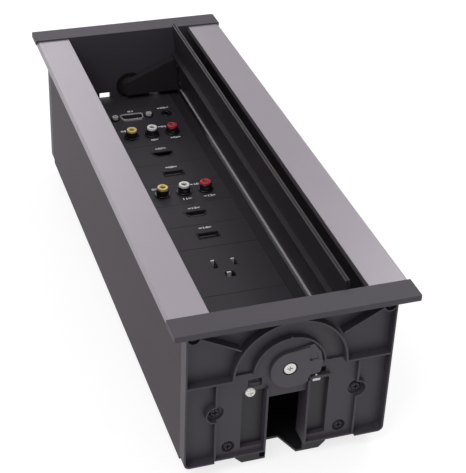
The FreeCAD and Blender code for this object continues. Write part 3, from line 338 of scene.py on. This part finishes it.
def soften(piece, radius, segments):
    """Rounds a piece's edges and shades it again."""
    weld = piece.modifiers.new("same_corners", "WELD")
    weld.merge_threshold = SAME_POINT * MM
    whole = piece.modifiers.new("whole_faces", "DECIMATE")
    whole.decimate_type = "DISSOLVE"
    whole.angle_limit = FLAT_ENOUGH
    bevel = piece.modifiers.new("soft_edges", "BEVEL")
    bevel.width = radius * MM
    bevel.segments = segments
    bevel.limit_method = "ANGLE"
    bevel.angle_limit = BEVEL_FROM
    shade = piece.modifiers.new("crease_shading", "NODES")
    shade.node_group = CREASE_SHADING
    piece.modifiers.new("flat_faces_stay_flat", "WEIGHTED_NORMAL").keep_sharp = True


for name, piece in nodes.items():
    radius, segments = EDGE_ROUNDING.get(name) or EDGE_ROUNDING[slot_of[name]]
    soften(piece, radius, segments)
print("pieces with soft edges:", len(nodes))

# %% [markdown]
# ## Printed numbers
#
# The real modules carry small white words and signs beside their sockets. Plain socket numbers take
# their place here, in the same spots and sizes, with dashes beside a number where the real mark is
# wider. The numbers could be painted on by a material, but print is a thin layer of ink, and as a
# layer it stays sharp from any distance. Each number is a text turned into a mesh, which is then
# scaled and moved by its points, so that the object itself stays at the origin. The height of the
# plates comes from the frame.

# %% Print the numbers on the plates
PRINT_HEIGHT = 2.4
PRINT_THICK = 0.02
PRINT_BOLD = 0.045
PRINT_SEGMENTS = 3
PLATE_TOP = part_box("power_plate")[1].z
# Each mark's centre and width on the plates, in millimetres
PRINTED = {
    "01": (-6.2, 145.5, 4.0),
    "=02=": (18.4, 145.2, 8.6),
    "03": (-18.2, 117.6, 4.0),
    "=04": (10.3, 117.8, 6.0),
    "05=": (0.4, 100.7, 5.6),
    "=06=": (15.6, 100.5, 7.4),
    "=07=": (0.8, 87.4, 7.7),
    "=08=": (0.9, 61.1, 8.2),
    "09": (-17.8, 35.7, 4.0),
    "=10": (9.9, 35.6, 6.0),
    "11=": (0.2, 19.2, 5.9),
    "=12=": (15.7, 19.3, 7.9),
    "=13=": (0.8, 6.9, 8.0),
    "=14=": (1.0, -17.2, 8.3),
}


def flat_text(words):
    """The words as a flat mesh, at the font's own size."""
    text = bpy.data.curves.new("print", "FONT")
    text.body = words
    text.align_x = "CENTER"
    text.align_y = "CENTER"
    text.offset = PRINT_BOLD
    text.resolution_u = PRINT_SEGMENTS
    writer = bpy.data.objects.new("print", text)
    bpy.context.scene.collection.objects.link(writer)
    bpy.context.view_layer.update()
    mesh = bpy.data.meshes.new_from_object(writer)
    bpy.data.objects.remove(writer)
    return mesh


def printed_mark(words, x, y, width):
    """White print of the given width round a point of the plates."""
    mesh = flat_text(words)
    ink = bmesh.new()
    ink.from_mesh(mesh)
    low = [min(vertex.co[axis] for vertex in ink.verts) for axis in (0, 1)]
    high = [max(vertex.co[axis] for vertex in ink.verts) for axis in (0, 1)]
    middle = [(low[axis] + high[axis]) / 2 for axis in (0, 1)]
    bmesh.ops.translate(ink, verts=ink.verts, vec=(-middle[0], -middle[1], 0))
    bmesh.ops.scale(ink, verts=ink.verts, vec=(width * MM / (high[0] - low[0]),
                                               PRINT_HEIGHT * MM / (high[1] - low[1]), 1))
    bmesh.ops.translate(ink, verts=ink.verts, vec=(x * MM, y * MM, PLATE_TOP))
    sides = bmesh.ops.extrude_face_region(ink, geom=ink.faces[:])
    raised = [item for item in sides["geom"] if isinstance(item, bmesh.types.BMVert)]
    bmesh.ops.translate(ink, verts=raised, vec=(0, 0, PRINT_THICK * MM))
    bmesh.ops.recalc_face_normals(ink, faces=ink.faces)
    ink.to_mesh(mesh)
    ink.free()
    mark = bpy.data.objects.new("printed_" + words.strip("="), mesh)
    bpy.context.scene.collection.objects.link(mark)
    mark.data.materials.clear()
    mark.data.materials.append(FINISHES["printed_white"])
    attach(mark, "base")
    return mark


marks = [printed_mark(words, *where) for words, where in PRINTED.items()]
print("printed numbers:", len(marks))

# %% [markdown]
# ## The floor
#
# The object stands on a plain pale sheet. A sheet lit until it is white would need more light than
# the object can bear, so the sheet glows a little instead, for the rays that the eye follows and
# for those that metal and glass send on. It reads as white, and it still keeps the object's soft
# shadow.

# %% Lay the floor
FLOOR_SIZE = 8.0
FLOOR_BASE = 0.4
FLOOR_ROUGHNESS = 0.9
FLOOR_SHINE = 0.1
FLOOR_GLOW = 0.75


def floor_material():
    """Pale for the light that falls on it, with a glow for the rays that the eye follows."""
    material = bpy.data.materials.new("pale_sheet")
    material.use_nodes = True
    tree = material.node_tree
    shader = tree.nodes["Principled BSDF"]
    shader.inputs["Base Color"].default_value = (FLOOR_BASE, FLOOR_BASE, FLOOR_BASE, 1)
    shader.inputs["Roughness"].default_value = FLOOR_ROUGHNESS
    shader.inputs["Specular IOR Level"].default_value = FLOOR_SHINE
    rays = add(tree, "ShaderNodeLightPath")
    seen = add(tree, "ShaderNodeMath", _operation="MAXIMUM")
    link(tree, rays, "Is Camera Ray", seen, 0)
    link(tree, rays, "Is Glossy Ray", seen, 1)
    also = add(tree, "ShaderNodeMath", _operation="MAXIMUM")
    link(tree, seen, "Value", also, 0)
    link(tree, rays, "Is Transmission Ray", also, 1)
    glow = add(tree, "ShaderNodeMath", _operation="MULTIPLY")
    glow.inputs[1].default_value = FLOOR_GLOW
    link(tree, also, "Value", glow, 0)
    shader.inputs["Emission Color"].default_value = (1, 1, 1, 1)
    link(tree, glow, "Value", shader, "Emission Strength")
    return material


sheet = bmesh.new()
bmesh.ops.create_grid(sheet, x_segments=1, y_segments=1, size=FLOOR_SIZE / 2)
floor_mesh = bpy.data.meshes.new("floor")
sheet.to_mesh(floor_mesh)
sheet.free()
floor = bpy.data.objects.new("floor", floor_mesh)
floor.data.materials.append(floor_material())
bpy.context.scene.collection.objects.link(floor)
print("floor", FLOOR_SIZE, "m square")

# %% [markdown]
# ## The sky and the lamps
#
# Three soft lamps stand behind the object, and put the sheen on the rails, the cap bars and the
# long edges. One in front on the left and an even sky fill the rest. The sky is white only where
# the eye meets it, past the edge of the sheet. A lamp grows weaker with its distance, so it is
# given by the share of full brightness that it brings, and its energy follows from that. Together
# the shares and the sky keep a colour about as bright as it was written.

# %% Light the room
SKY_LEVEL = 0.48
SKY_WHITE = 1.0
SKY_TINT = (1.0, 0.975, 1.0, 1)
LIT_POINT = Vector((0, 0, 0.06))
LAMP_DISTANCE = 2.2
# Degrees round from the box's far end, degrees up from the floor, the side of the square lamp in
# metres, and the share of full brightness that it gives a surface facing it
LAMPS = {
    "back_middle": (2, 28, 0.8, 0.075),
    "back_left": (-32, 24, 0.7, 0.05),
    "back_right": (52, 48, 1.0, 0.22),
    "front_left": (232, 55, 1.2, 0.32),
}


def light_the_sky():
    """An even sky that lights the object, and white where the eye sees it."""
    world = bpy.data.worlds.new("studio")
    bpy.context.scene.world = world
    world.use_nodes = True
    tree = world.node_tree
    sky = tree.nodes["Background"]
    rays = add(tree, "ShaderNodeLightPath")
    strength = add(tree, "ShaderNodeMapRange", To_Min=SKY_LEVEL, To_Max=SKY_WHITE)
    link(tree, rays, "Is Camera Ray", strength, "Value")
    link(tree, strength, "Result", sky, "Strength")
    sky.inputs["Color"].default_value = SKY_TINT


def lamp(name, azimuth, elevation, size, share):
    """A square soft lamp that faces the object."""
    data = bpy.data.lights.new(name, "AREA")
    data.shape = "SQUARE"
    data.size = size
    data.energy = share * (math.pi * LAMP_DISTANCE) ** 2
    turn = math.radians(azimuth)
    rise = math.radians(elevation)
    towards = Vector((math.sin(turn) * math.cos(rise), math.cos(turn) * math.cos(rise),
                      math.sin(rise)))
    lamp_object = bpy.data.objects.new(name, data)
    aim = (-towards).to_track_quat("-Z", "Y").to_matrix().to_4x4()
    lamp_object.matrix_world = Matrix.Translation(LIT_POINT + towards * LAMP_DISTANCE) @ aim
    bpy.context.scene.collection.objects.link(lamp_object)


light_the_sky()
for name, place in LAMPS.items():
    lamp(name, *place)
print("lamps:", len(LAMPS))
